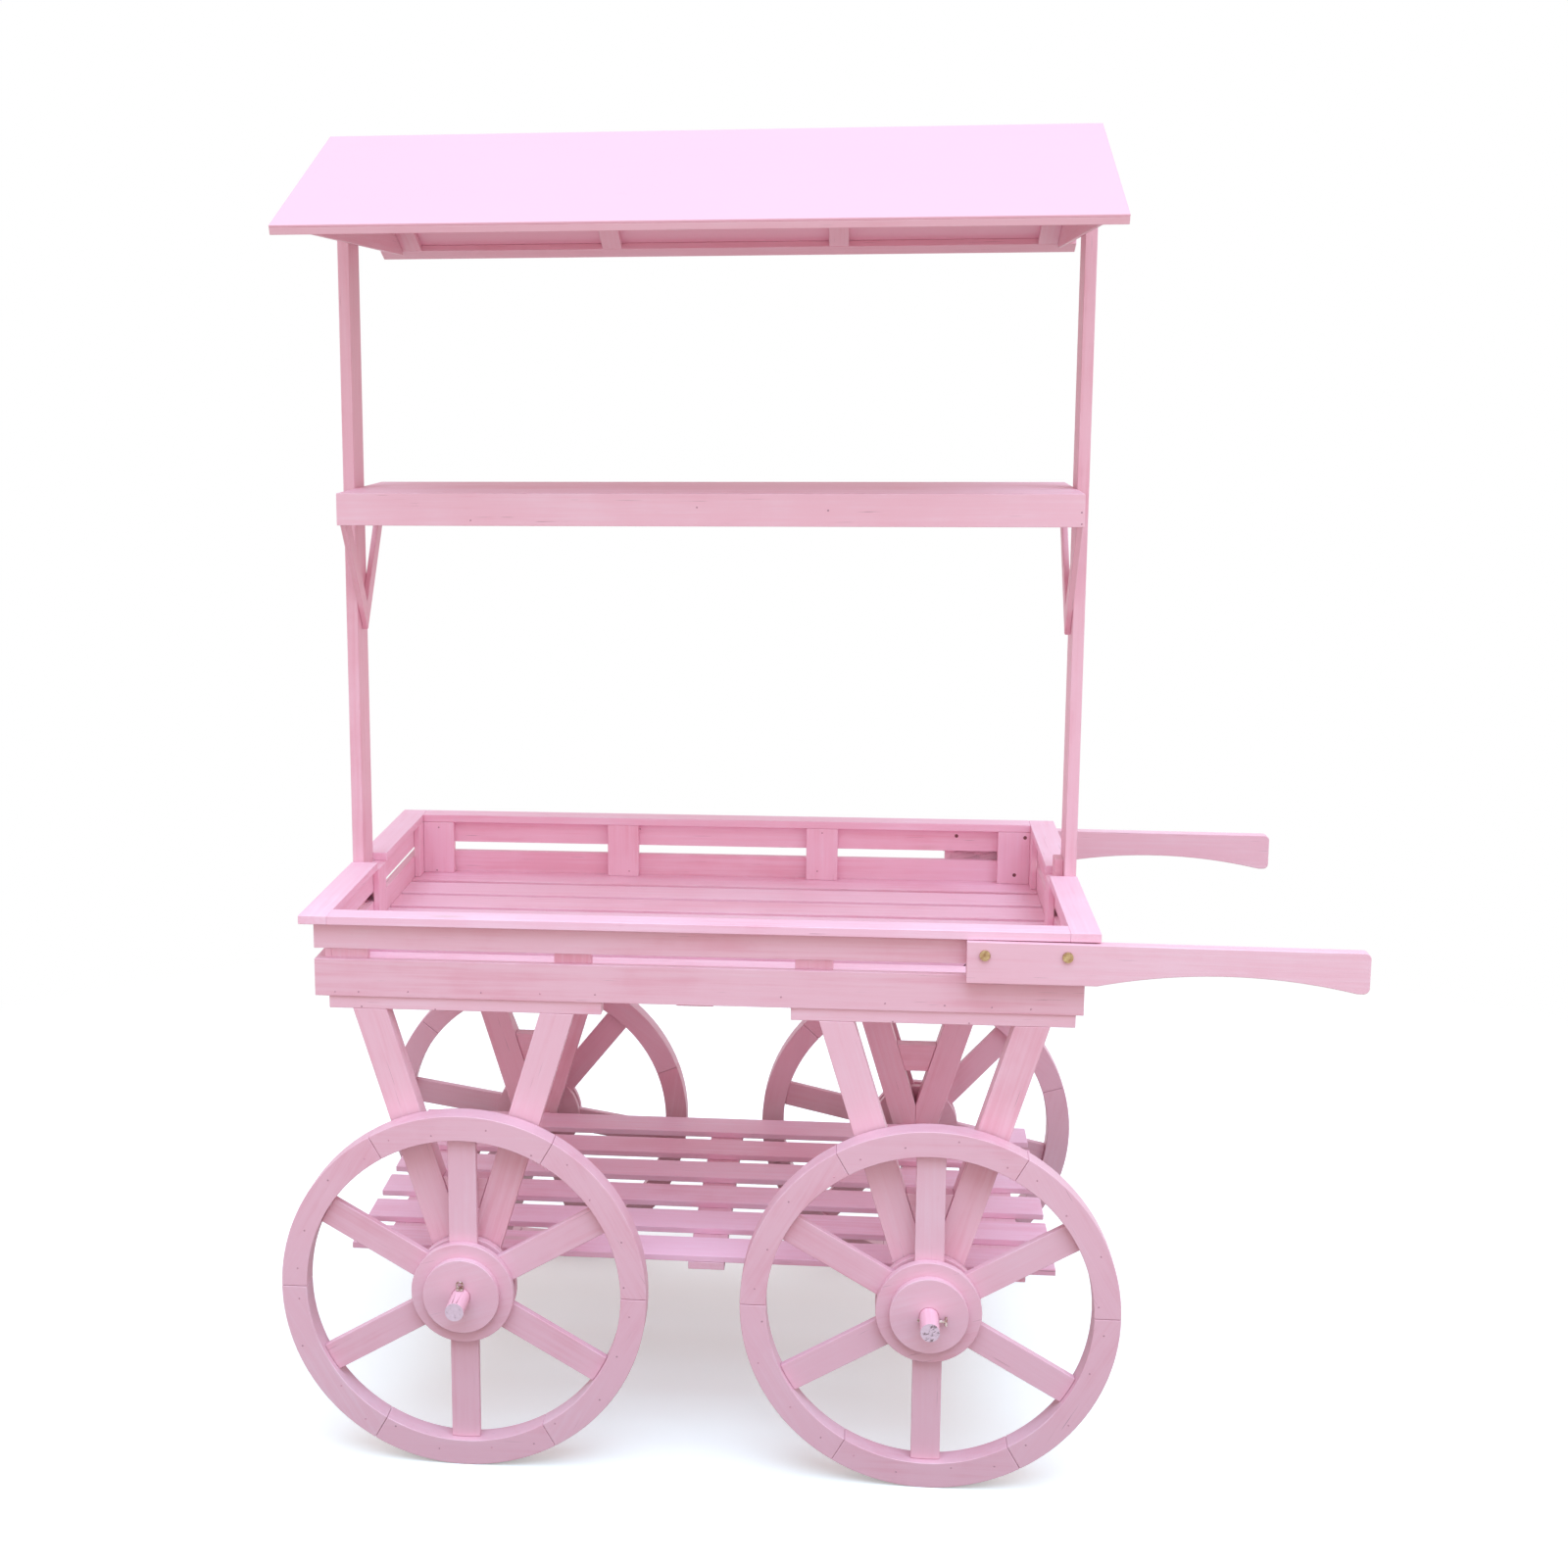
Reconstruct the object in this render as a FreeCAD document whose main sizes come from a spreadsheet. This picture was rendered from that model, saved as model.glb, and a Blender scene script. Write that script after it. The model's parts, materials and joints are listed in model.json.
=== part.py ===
import FreeCAD, Part
import Sketcher
import math
import os
import re

# A free-standing flower cart made of painted timber: a shallow tray on four V-shaped leg frames,
# four dummy cart wheels that turn on two wooden dowels, a slatted shelf between the wheels, two
# posts that carry a narrow shelf and a low gabled roof, and two handles at the right-hand end.
#
# X runs along the cart towards the handles, the front is -Y and Z is up from the floor.
# The origin lies on the floor, under the middle of everything. Sizes in the lists below are
# measured from the middle of the tray, whose own place is the cell cart_x.

SIZES = {
    # wheels
    "wheel_radius": 250,
    "rim_width": 35,
    "rim_thick": 34,
    "felloe_count": 6,
    "felloe_gap": 0.4,
    "spoke_count": 6,
    "spoke_width": 38.6,
    "spoke_thick": 12,
    "spoke_start": 35,
    "spoke_gap": 0.3,
    "hub_radius": 70,
    "hub_thick": 13,
    "cap_radius": 52,
    "cap_thick": 12,
    "wheel_inset": 196.1,
    "wheel_play": 2,
    "rear_left_turn": 39,
    "rear_right_turn": 42.6,
    # dowel axles, their pins and the beams that carry them
    "axle_radius": 12.5,
    "axle_stub": 50,
    "run_gap": 0.08,
    "seat_gap": 0.3,
    "pin_radius": 2,
    "pin_gap": 4,
    "eye_radius": 4,
    "eye_wire": 1.4,
    "collar_radius": 5.5,
    "collar_thick": 3,
    "pin_foot": 9,
    "cross_pin_reach": 22,
    "cross_pin_drop": 3,
    "prong_radius": 0.9,
    "prong_length": 3.5,
    "beam_width": 50,
    "beam_drop": 23,
    "beam_height": 40,
    # leg frames
    "under_shift": 4.5,
    "frame_inset": 3,
    "leg_thick": 30,
    "leg_width": 46,
    "leg_top_half": 150,
    "leg_hub_half": 31.5,
    "leg_foot_drop": 47,
    "leg_rise": 384.5,
    "glue_gap": 0.2,
    "rail_height": 17.5,
    "rail_inward": 187,
    "rail_outward": 182,
    "bar_rise": 105.5,
    "bar_height": 44,
    "bar_thick": 25,
    # lower slatted shelf
    "slat_count": 6,
    "slat_width": 67.7,
    "slat_leg_gap": 30.15,
    "slat_thick": 9,
    "slat_end_inset": 23.1,
    "bearer_thick": 11,
    "bearer_end_width": 70,
    "bearer_end_inset": 40,
    "bearer_mid_width": 50,
    "bearer_mid_x": 11.5,
    # tray
    "wall_face_x": 508.6,
    "wall_face_y": 350,
    "board_thick": 12,
    "lower_board": 51,
    "upper_board": 35,
    "wall_gap": 15,
    "floor_count": 8,
    "floor_gap": 15,
    "floor_thick": 17,
    "tray_bearer_width": 50,
    "tray_bearer_inset": 31.6,
    "tray_bearer_mid_gap": 43,
    "cleat_width": 50,
    "cleat_thick": 15,
    "side_cleat_thick": 9,
    "cleat_x": 160,
    "trim_width": 39,
    "trim_thick": 12,
    "trim_over_x": 18.1,
    "trim_over_y": 11.7,
    # posts and the small block at the foot of the right one
    "post_thick": 16.4,
    "post_width": 65.5,
    "post_block_low": -12,
    "post_block_high": 24,
    "post_block_height": 31,
    # middle shelf
    "mid_rise": 548,
    "mid_height": 44.5,
    "mid_half_depth": 151,
    "mid_board_count": 3,
    "mid_board_thick": 12,
    "mid_board_gap": 1.5,
    "brace_thick": 8,
    "brace_drop": 162.5,
    "brace_inset": 7.5,
    "brace_width": 33.6,
    # roof
    "ridge_rise": 491,
    "roof_rise": 142.4,
    "roof_run": 358,
    "roof_over": 9.3,
    "roof_shift": -4.2,
    "sheet_thick": 3,
    "batten_thick": 10,
    "batten_width": 30,
    "ridge_setback": 5.5,
    "rafter_x": 174,
    "gable_thick": 5.6,
    "gable_drop": 6.6,
    # handles
    "handle_thick": 19,
    "handle_lap": 152.6,
    "handle_reach": 352.4,
    "handle_top_drop": 0.5,
    "handle_width": 55.5,
    "handle_end_top_drop": 3.5,
    "handle_end_low_drop": 1.5,
    "handle_plate_past": 13.4,
    "handle_tip": 15,
    "handle_sag": 17.75,
    "handle_corner": 8,
    "screw_radius": 3,
    "screw_head": 7,
    "screw_head_thick": 4,
    "screw_length": 26,
    "screw_edge": 23,
    "screw_pitch": 105,
    "screw_drop": 17.5,
}

# What follows from the sizes above, by formula.
DERIVED = {
    "wheel_spread": "wall_face_x - wheel_inset",
    "frame_face": "wall_face_y - frame_inset",
    "cart_x": "-(handle_end + under_shift - wheel_spread - wheel_radius) / 2",
    "rim_inner": "wheel_radius - rim_width",
    "spoke_reach": "rim_inner - spoke_gap",
    "spoke_tip": "sqrt(spoke_reach * spoke_reach - spoke_width * spoke_width / 4)",
    "hub_offset": "spoke_thick / 2 + hub_thick / 2",
    "wheel_y": "frame_face + wheel_play + hub_thick + spoke_thick / 2",
    "cap_offset": "spoke_thick / 2 + hub_thick + cap_thick / 2",
    "cap_face": "wheel_y + cap_offset + cap_thick / 2",
    "axle_half": "cap_face + axle_stub",
    "pin_y": "cap_face + pin_gap + pin_radius",
    "axle_top": "wheel_radius + axle_radius",
    "beam_low": "wheel_radius - beam_drop",
    "beam_top": "beam_low + beam_height",
    "leg_back": "frame_face - leg_thick",
    "leg_foot": "wheel_radius - leg_foot_drop",
    "rail_low": "wheel_radius + leg_rise",
    "rail_near": "wheel_spread - rail_inward",
    "rail_far": "wheel_spread + rail_outward",
    "leg_slope": "(leg_top_half - leg_hub_half) / (rail_low - wheel_radius)",
    "leg_meet": "wheel_radius + (leg_width - leg_hub_half) / leg_slope",
    "leg_foot_half": "leg_hub_half - (wheel_radius - leg_foot) * leg_slope",
    "leg_mitre": "glue_gap / 2",
    "leg_mitre_top": "leg_meet + leg_mitre / leg_slope",
    "bar_low": "wheel_radius + bar_rise",
    "bar_high": "bar_low + bar_height",
    "bar_low_half": "(bar_low - leg_meet) * leg_slope - glue_gap",
    "bar_high_half": "(bar_high - leg_meet) * leg_slope - glue_gap",
    "slats_half": "leg_back - slat_leg_gap",
    "slat_pitch": "(2 * slats_half - slat_width) / (slat_count - 1)",
    "slat_half": "wall_face_x - slat_end_inset",
    "slat_top": "beam_top + slat_thick",
    "bearer_end_out": "slat_half - bearer_end_inset",
    "wall_low": "rail_low + rail_height",
    "wall_in_x": "wall_face_x - board_thick",
    "wall_in_y": "wall_face_y - board_thick",
    "lower_top": "wall_low + lower_board",
    "upper_low": "lower_top + wall_gap",
    "wall_top": "upper_low + upper_board",
    "trim_top": "wall_top + trim_thick",
    "trim_out_x": "wall_face_x + trim_over_x",
    "trim_out_y": "wall_face_y + trim_over_y",
    "trim_in_x": "trim_out_x - trim_width",
    "trim_in_y": "trim_out_y - trim_width",
    "floor_top": "wall_low + floor_thick",
    "floor_pitch": "(2 * wall_in_y + floor_gap) / floor_count",
    "tray_bearer_x": "wall_in_x - tray_bearer_inset",
    "tray_bearer_mid_half": "wall_in_y - tray_bearer_mid_gap",
    "side_cleat_in": "wall_in_x - side_cleat_thick",
    "post_half": "post_width / 2",
    "ridge_z": "mid_top + ridge_rise",
    "roof_half": "wall_face_x + post_thick + roof_over",
    "roof_slope": "sqrt(roof_rise * roof_rise + roof_run * roof_run)",
    "roof_cos": "roof_run / roof_slope",
    "roof_sin": "roof_rise / roof_slope",
    "sheet_low": "ridge_z - sheet_thick / roof_cos",
    "frame_depth": "sheet_thick + batten_thick",
    "post_top": "sheet_low - glue_gap",
    "post_shoulder": "post_top - post_half * roof_rise / roof_run",
    "gable_in": "wall_face_x - gable_thick",
    "gable_low": "ridge_z - roof_rise - gable_drop",
    "rafter_end_x": "gable_in - batten_width / 2",
    "batten_start": "roof_slope - batten_width",
    "rafter_start": "ridge_setback + batten_width",
    "mid_top": "trim_top + mid_rise",
    "mid_low": "mid_top - mid_height",
    "mid_in": "mid_half_depth - board_thick",
    "mid_under": "mid_top - mid_board_thick",
    "mid_pitch": "2 * mid_in / mid_board_count",
    "brace_foot": "mid_low - brace_drop",
    "brace_reach": "mid_in - brace_inset",
    "brace_slope": "brace_reach / (mid_low - brace_foot)",
    "handle_face": "wall_face_y + handle_thick",
    "handle_start": "wall_face_x - handle_lap",
    "handle_end": "wall_face_x + handle_reach",
    "handle_plate_end": "wall_face_x + handle_plate_past",
    "handle_tip_start": "handle_end - handle_tip",
    "handle_top": "wall_top - handle_top_drop",
    "handle_end_top": "handle_top - handle_end_top_drop",
    "handle_low": "handle_top - handle_width",
    "handle_end_low": "handle_low - handle_end_low_drop",
    "handle_bow": "((handle_tip_start - handle_plate_end) ^ 2 / 4 + handle_sag ^ 2) / (2 * handle_sag)",
    "screw_tip": "handle_face - screw_length",
    "screw_near": "handle_start + screw_edge",
    "screw_far": "screw_near + screw_pitch",
    "screw_z": "handle_top - screw_drop",
}

doc = FreeCAD.newDocument("flower_cart")
sheet = doc.addObject("Spreadsheet::Sheet", "Sizes")
NODES = {}
FRONT_REAR = (("front", -1), ("rear", 1))
LEFT_RIGHT = (("left", -1), ("right", 1))


def fill_sheet():
    """Write every size and formula into the sheet, one row each, with its alias."""
    rows = list(SIZES.items()) + [(name, "=" + formula) for name, formula in DERIVED.items()]
    for row, (name, content) in enumerate(rows, start=2):
        sheet.set(f"A{row}", name)
        sheet.set(f"B{row}", str(content))
        sheet.setAlias(f"B{row}", name)
    doc.recompute()


def cells(text):
    """An expression in which each size's name points at the sheet."""
    names = {**SIZES, **DERIVED}
    return re.sub(r"[a-z]\w*", lambda word: "Sizes." + word[0] if word[0] in names else word[0], str(text))


def number(text):
    """The value of an expression now, worked out by the sheet in a spare cell."""
    sheet.set("D1", "=" + str(text))
    sheet.recompute()
    return float(sheet.get("D1"))


def place(piece, x, y, z, axis=None, angle=0):
    """Put a piece at a point of the cart, turned about an axis of its own if one is given."""
    if axis:
        turn = FreeCAD.Rotation(FreeCAD.Vector(*axis), angle)
        piece.Placement = FreeCAD.Placement(FreeCAD.Vector(), turn)
    for key, value in zip("xyz", (f"cart_x + ({x})", y, z)):
        piece.setExpression(f"Placement.Base.{key}", cells(value))
    return piece


def board(name, x, y, z):
    """A straight board between two limits along each axis."""
    piece = doc.addObject("Part::Box", name)
    for size, (low, high) in zip(("Length", "Width", "Height"), (x, y, z)):
        piece.setExpression(size, cells(f"({high}) - ({low})"))
    return place(piece, x[0], y[0], z[0])


def rod(name, radius, length, x, y, z, axis=None, angle=0):
    """A round rod that starts at a point and runs up, or where the rotation turns it."""
    piece = doc.addObject("Part::Cylinder", name)
    piece.setExpression("Radius", cells(radius))
    piece.setExpression("Height", cells(length))
    return place(piece, x, y, z, axis, angle)


ALONG_Y = {"axis": (1, 0, 0), "angle": -90}
ALONG_X = {"axis": (0, 1, 0), "angle": 90}


def cut(name, base, tool):
    piece = doc.addObject("Part::Cut", name)
    piece.Base = base
    piece.Tool = tool
    return piece


def fuse(name, parts):
    piece = doc.addObject("Part::MultiFuse", name)
    piece.Shapes = parts
    return piece


def compound(name, parts):
    piece = doc.addObject("Part::Compound", name)
    piece.Links = parts
    return piece


def keep(label, piece):
    """Make a piece one of the part's nodes."""
    piece.Label = label
    NODES[label] = piece
    return piece


def keep_group(label, parts):
    return keep(label, compound(label, parts))


def new_body(name):
    body = doc.addObject("PartDesign::Body", name)
    body.AllowCompound = True
    return body


def new_sketch(body, role, name):
    """A sketch on one of the body's own origin planes."""
    sketch = body.newObject("Sketcher::SketchObject", name)
    plane = [item for item in body.Origin.OriginFeatures if item.Role == role]
    sketch.AttachmentSupport = [(plane[0], "")]
    sketch.MapMode = "FlatFace"
    return sketch


def constrain(sketch, key, expression, *terms):
    """Add a driving constraint and bind it to the sheet."""
    index = sketch.addConstraint(Sketcher.Constraint(*terms, number(expression)))
    sketch.renameConstraint(index, key)
    sketch.setExpression(f"Constraints.{key}", cells(expression))


def draw_outline(sketch, corners, arcs=None):
    """A closed outline through named corners. arcs maps an edge to its radius and to the
    side it bulges to: 1 is the left of the edge's direction, -1 the right."""
    arcs = arcs or {}
    points = [FreeCAD.Vector(number(x), number(y), 0) for x, y in corners]
    count = len(points)
    for index, start in enumerate(points):
        end = points[(index + 1) % count]
        if index in arcs:
            radius, side = arcs[index]
            half = (end - start) / 2
            sag = number(radius) - math.sqrt(number(radius) ** 2 - half.Length ** 2)
            normal = FreeCAD.Vector(-half.y, half.x, 0).normalize()
            sketch.addGeometry(Part.Arc(start, start + half + normal * sag * side, end), False)
        else:
            sketch.addGeometry(Part.LineSegment(start, end), False)
    # An arc keeps its ends in counter-clockwise order, so each edge's first end is looked up.
    first = []
    for index, start in enumerate(points):
        first.append(1 if sketch.getPoint(index, 1).distanceToPoint(start) < 1e-6 else 2)
    for index in range(count):
        following = (index + 1) % count
        joint = Sketcher.Constraint("Coincident", index, 3 - first[index], following, first[following])
        sketch.addConstraint(joint)
    for index, (x, y) in enumerate(corners):
        constrain(sketch, f"x{index}", x, "DistanceX", -1, 1, index, first[index])
        constrain(sketch, f"y{index}", y, "DistanceY", -1, 1, index, first[index])
    for index, (radius, _) in arcs.items():
        constrain(sketch, f"r{index}", radius, "Radius", index)


def draw_circles(sketch, radii):
    """Circles about the sketch's origin."""
    for index, radius in enumerate(radii):
        circle = Part.Circle(FreeCAD.Vector(), FreeCAD.Vector(0, 0, 1), number(radius))
        sketch.addGeometry(circle, False)
        sketch.addConstraint(Sketcher.Constraint("Coincident", index, 3, -1, 1))
        constrain(sketch, f"r{index}", radius, "Radius", index)


def pad(body, sketch, thickness):
    """Pad a sketch evenly to both sides of its plane."""
    feature = body.newObject("PartDesign::Pad", "Pad")
    feature.Profile = sketch
    feature.Midplane = True
    feature.setExpression("Length", cells(thickness))
    body.Tip = feature
    return feature


def repeat_round(body, feature, count):
    """Repeat a feature evenly about the body's own Y axis."""
    axis = [item for item in body.Origin.OriginFeatures if item.Role == "Y_Axis"]
    pattern = body.newObject("PartDesign::PolarPattern", "Pattern")
    pattern.Originals = [feature]
    pattern.Axis = (axis[0], [""])
    pattern.Angle = 360
    pattern.setExpression("Occurrences", cells(count))
    body.Tip = pattern
    return pattern


def plate(name, role, corners, thickness, arcs=None):
    """A flat piece with a drawn outline, centred on its own origin plane."""
    body = new_body(name)
    sketch = new_sketch(body, role, name + "_outline")
    draw_outline(sketch, corners, arcs)
    pad(body, sketch, thickness)
    return body


def ring(name, outer, inner, thickness):
    """A flat round piece with a round hole, its axis along Y."""
    body = new_body(name)
    sketch = new_sketch(body, "XZ_Plane", name + "_outline")
    draw_circles(sketch, (outer, inner))
    pad(body, sketch, thickness)
    return body


def span(side, near, far):
    """The low and high limit of something that lies near..far on one side of zero."""
    if side > 0:
        return near, far
    return f"-({far})", f"-({near})"


def about(middle, width):
    """The low and high limit of something centred on a place."""
    return f"{middle} - ({width}) / 2", f"{middle} + ({width}) / 2"


def shifted(limits):
    """Limits of a piece of the undercarriage, which sits a little towards the handles."""
    return tuple(f"under_shift + {limit}" for limit in limits)


def make_wheel(where, x, y, side, turn):
    """One wheel: six felloes, six spokes between two hub discs, and the outer cap disc."""
    rim = ring(f"rim_{where}", "wheel_radius", "rim_inner", "rim_thick")
    doc.recompute()
    saw = new_sketch(rim, "XZ_Plane", f"rim_{where}_joint")
    half_gap = "felloe_gap / 2"
    draw_outline(saw, [("rim_inner - 1", f"-{half_gap}"), ("wheel_radius + 1", f"-{half_gap}"),
                       ("wheel_radius + 1", half_gap), ("rim_inner - 1", half_gap)])
    joint = rim.newObject("PartDesign::Pocket", "Joint")
    joint.Profile = saw
    joint.Midplane = True
    joint.setExpression("Length", cells("rim_thick + 2"))
    rim.Tip = joint
    doc.recompute()
    repeat_round(rim, joint, "felloe_count")

    half = "spoke_width / 2"
    spokes = new_body(f"spokes_{where}")
    sketch = new_sketch(spokes, "XZ_Plane", f"spokes_{where}_outline")
    draw_outline(sketch, [(f"-{half}", "spoke_start"), (half, "spoke_start"),
                          (half, "spoke_tip"), (f"-{half}", "spoke_tip")],
                 arcs={2: ("spoke_reach", -1)})
    first_spoke = pad(spokes, sketch, "spoke_thick")
    doc.recompute()
    repeat_round(spokes, first_spoke, "spoke_count")

    for piece in (rim, spokes):
        place(piece, x, y, "wheel_radius", axis=(0, 1, 0), angle=number(turn))
    keep(f"rim_{where}", rim)
    keep(f"spokes_{where}", spokes)

    bore = "axle_radius + run_gap"
    discs = []
    for face, offset in (("outer", f"{side} * hub_offset"), ("inner", f"-{side} * hub_offset")):
        disc = ring(f"hub_{where}_{face}", "hub_radius", bore, "hub_thick")
        discs.append(place(disc, x, f"{y} + {offset}", "wheel_radius"))
    keep_group(f"hub_{where}", discs)
    cap = ring(f"cap_{where}", "cap_radius", bore, "cap_thick")
    keep(f"cap_{where}", place(cap, x, f"{y} + {side} * cap_offset", "wheel_radius"))


def make_eye_pin(name, x, y):
    """The pin of a left wheel: it drops through the dowel and hangs on its collar."""
    foot = "wheel_radius - axle_radius - pin_foot"
    seat = "axle_top + seat_gap"
    eye_z = "axle_top + seat_gap + collar_thick + eye_radius"
    shank = rod(name + "_shank", "pin_radius", f"{seat} + collar_thick - ({foot})", x, y, foot)
    collar = rod(name + "_collar", "collar_radius", "collar_thick", x, y, seat)
    eye = doc.addObject("Part::Torus", name + "_eye")
    eye.setExpression("Radius1", cells("eye_radius"))
    eye.setExpression("Radius2", cells("eye_wire"))
    place(eye, x, y, eye_z, axis=(1, 0, 0), angle=90)
    return fuse(name, [shank, collar, eye])


def make_split_pin(name, x, y):
    """The pin of a right wheel: it lies across the dowel, with a bar head and two prongs."""
    z = "wheel_radius - cross_pin_drop"
    start = f"{x} - axle_radius - seat_gap"
    shank = rod(name + "_shank", "pin_radius", "axle_radius + seat_gap + cross_pin_reach",
                start, y, z, **ALONG_X)
    head = rod(name + "_head", "pin_radius", "2 * eye_radius + 2 * pin_radius",
               f"{x} + cross_pin_reach", y, f"{z} - eye_radius - pin_radius")
    prongs = []
    for side in (-1, 1):
        prongs.append(rod(f"{name}_prong_{len(prongs)}", "prong_radius", "prong_length",
                          f"{start} - prong_length + 1", y, f"{z} + {side} * prong_radius * 1.05",
                          **ALONG_X))
    return fuse(name, [shank, head] + prongs)


def make_axle(side_name, side):
    """A dowel from front to rear, the pins outside its two caps, and the beam it lies in."""
    x = f"under_shift + {side} * wheel_spread"
    dowel = rod(f"dowel_{side_name}", "axle_radius", "2 * axle_half", x, "-axle_half",
                "wheel_radius", **ALONG_Y)
    hole = "pin_radius + seat_gap"
    holes = []
    pins = []
    for end, sign in FRONT_REAR:
        y = f"{sign} * pin_y"
        if side < 0:
            holes.append(rod(f"pin_hole_{side_name}_{end}", hole, "2 * axle_radius + 2", x, y,
                             "wheel_radius - axle_radius - 1"))
            pins.append(make_eye_pin(f"pin_{side_name}_{end}", x, y))
        else:
            holes.append(rod(f"pin_hole_{side_name}_{end}", hole, "2 * axle_radius + 2",
                             f"{x} - axle_radius - 1", y, "wheel_radius - cross_pin_drop", **ALONG_X))
            pins.append(make_split_pin(f"pin_{side_name}_{end}", x, y))
    drilled = cut(f"axle_{side_name}", dowel, compound(f"pin_holes_{side_name}", holes))
    keep(f"axle_{side_name}", drilled)
    keep_group(f"axle_pins_{side_name}", pins)

    block = board(f"beam_block_{side_name}", about(x, "beam_width"), ("-leg_back", "leg_back"),
                  ("beam_low", "beam_top"))
    bore = rod(f"beam_bore_{side_name}", "axle_radius + seat_gap", "2 * leg_back + 2", x,
               "-leg_back - 1", "wheel_radius", **ALONG_Y)
    keep(f"axle_beam_{side_name}", cut(f"axle_beam_{side_name}", block, bore))


def make_leg_frame(where, x, side):
    """Two legs that lean together and are mitred round the dowel, and the bar between them."""
    y = f"{side} * (frame_face - leg_thick / 2)"
    legs = []
    for name, sign in LEFT_RIGHT:
        corners = [("leg_top_half", "rail_low"), ("leg_top_half - leg_width", "rail_low"),
                   ("leg_mitre", "leg_mitre_top"), ("leg_mitre", "leg_foot"),
                   ("leg_foot_half", "leg_foot")]
        corners = [(f"{sign} * ({across})", up) for across, up in corners]
        leg = plate(f"leg_{where}_{name}", "XZ_Plane", corners, "leg_thick")
        place(leg, x, y, 0)
        notch = rod(f"notch_{where}_{name}", "axle_radius + seat_gap", "leg_thick + 2", x,
                    f"{y} - leg_thick / 2 - 1", "wheel_radius", **ALONG_Y)
        legs.append(cut(f"leg_{where}_{name}_notched", leg, notch))
    keep_group(f"legs_{where}", legs)
    bar = plate(f"crossbar_{where}", "XZ_Plane",
                [("-bar_low_half", "bar_low"), ("bar_low_half", "bar_low"),
                 ("bar_high_half", "bar_high"), ("-bar_high_half", "bar_high")], "bar_thick")
    return place(bar, x, y, 0)


def make_undercarriage():
    turns = {"rear_left": "rear_left_turn", "rear_right": "rear_right_turn"}
    for end, side in FRONT_REAR:
        bars = []
        rails = []
        for name, sign in LEFT_RIGHT:
            where = f"{end}_{name}"
            x = f"under_shift + {sign} * wheel_spread"
            make_wheel(where, x, f"{side} * wheel_y", side, turns.get(where, "0"))
            bars.append(make_leg_frame(where, x, side))
            rails.append(board(f"rail_{where}", shifted(span(sign, "rail_near", "rail_far")),
                               span(side, "leg_back", "frame_face"), ("rail_low", "wall_low")))
        keep_group(f"crossbars_{end}", bars)
        keep_group(f"top_rails_{end}", rails)
    for name, sign in LEFT_RIGHT:
        make_axle(name, sign)


def make_lower_shelf():
    """Six lengthwise slats, and three bearers nailed across under them."""
    slats = []
    for index in range(SIZES["slat_count"]):
        middle = f"({index} - (slat_count - 1) / 2) * slat_pitch"
        slats.append(board(f"slat_{index}", shifted(("-slat_half", "slat_half")),
                           about(middle, "slat_width"), ("beam_top", "slat_top")))
    keep_group("shelf_slats", slats)
    depth = ("-slats_half", "slats_half")
    height = ("beam_top - bearer_thick", "beam_top")
    inner = "bearer_end_out - bearer_end_width"
    bearers = [board("bearer_mid", shifted(about("bearer_mid_x", "bearer_mid_width")), depth, height)]
    for name, sign in LEFT_RIGHT:
        bearers.append(board(f"bearer_{name}", shifted(span(sign, inner, "bearer_end_out")),
                             depth, height))
    keep_group("shelf_bearers", bearers)


def screw_places():
    """Where the handle screws go: their name, X and side of the cart."""
    places = []
    for end, side in FRONT_REAR:
        for name, x in (("near", "screw_near"), ("far", "screw_far")):
            places.append((f"{end}_{name}", x, end, side))
    return places


def screw_holes(name, end, start, length):
    """Clearance holes for one handle's screws, from the outside inwards."""
    holes = []
    for place_name, x, place_end, side in screw_places():
        if place_end == end:
            y = start if side < 0 else f"-({start}) - ({length})"
            holes.append(rod(f"{name}_{place_name}", "screw_radius + seat_gap", length, x, y,
                             "screw_z", **ALONG_Y))
    return compound(name, holes)


def make_tray():
    for end, side in FRONT_REAR:
        y = span(side, "wall_in_y", "wall_face_y")
        x = ("-wall_face_x", "wall_face_x")
        lower = board(f"lower_board_{end}", x, y, ("wall_low", "lower_top"))
        upper = board(f"upper_board_{end}", x, y, ("upper_low", "wall_top"))
        depth = "wall_face_y - screw_tip + seat_gap"
        holes = screw_holes(f"wall_holes_{end}", end, "-wall_face_y", depth)
        drilled = cut(f"upper_board_{end}_drilled", upper, holes)
        keep_group(f"tray_wall_{end}", [lower, drilled])
        keep(f"trim_{end}", board(f"trim_{end}", ("-trim_in_x", "trim_in_x"),
                                  span(side, "trim_in_y", "trim_out_y"), ("wall_top", "trim_top")))
    for name, sign in LEFT_RIGHT:
        x = span(sign, "wall_in_x", "wall_face_x")
        y = ("-wall_in_y", "wall_in_y")
        lower = board(f"lower_board_{name}", x, y, ("wall_low", "lower_top"))
        upper = board(f"upper_board_{name}", x, y, ("upper_low", "wall_top"))
        keep_group(f"tray_wall_{name}", [lower, upper])
        halves = []
        for end, side in FRONT_REAR:
            halves.append(board(f"trim_{name}_{end}", span(sign, "trim_in_x", "trim_out_x"),
                                span(side, "post_half + seat_gap", "trim_out_y"),
                                ("wall_top", "trim_top")))
        keep_group(f"trim_{name}", halves)
    make_tray_floor()
    make_tray_cleats()


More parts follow.
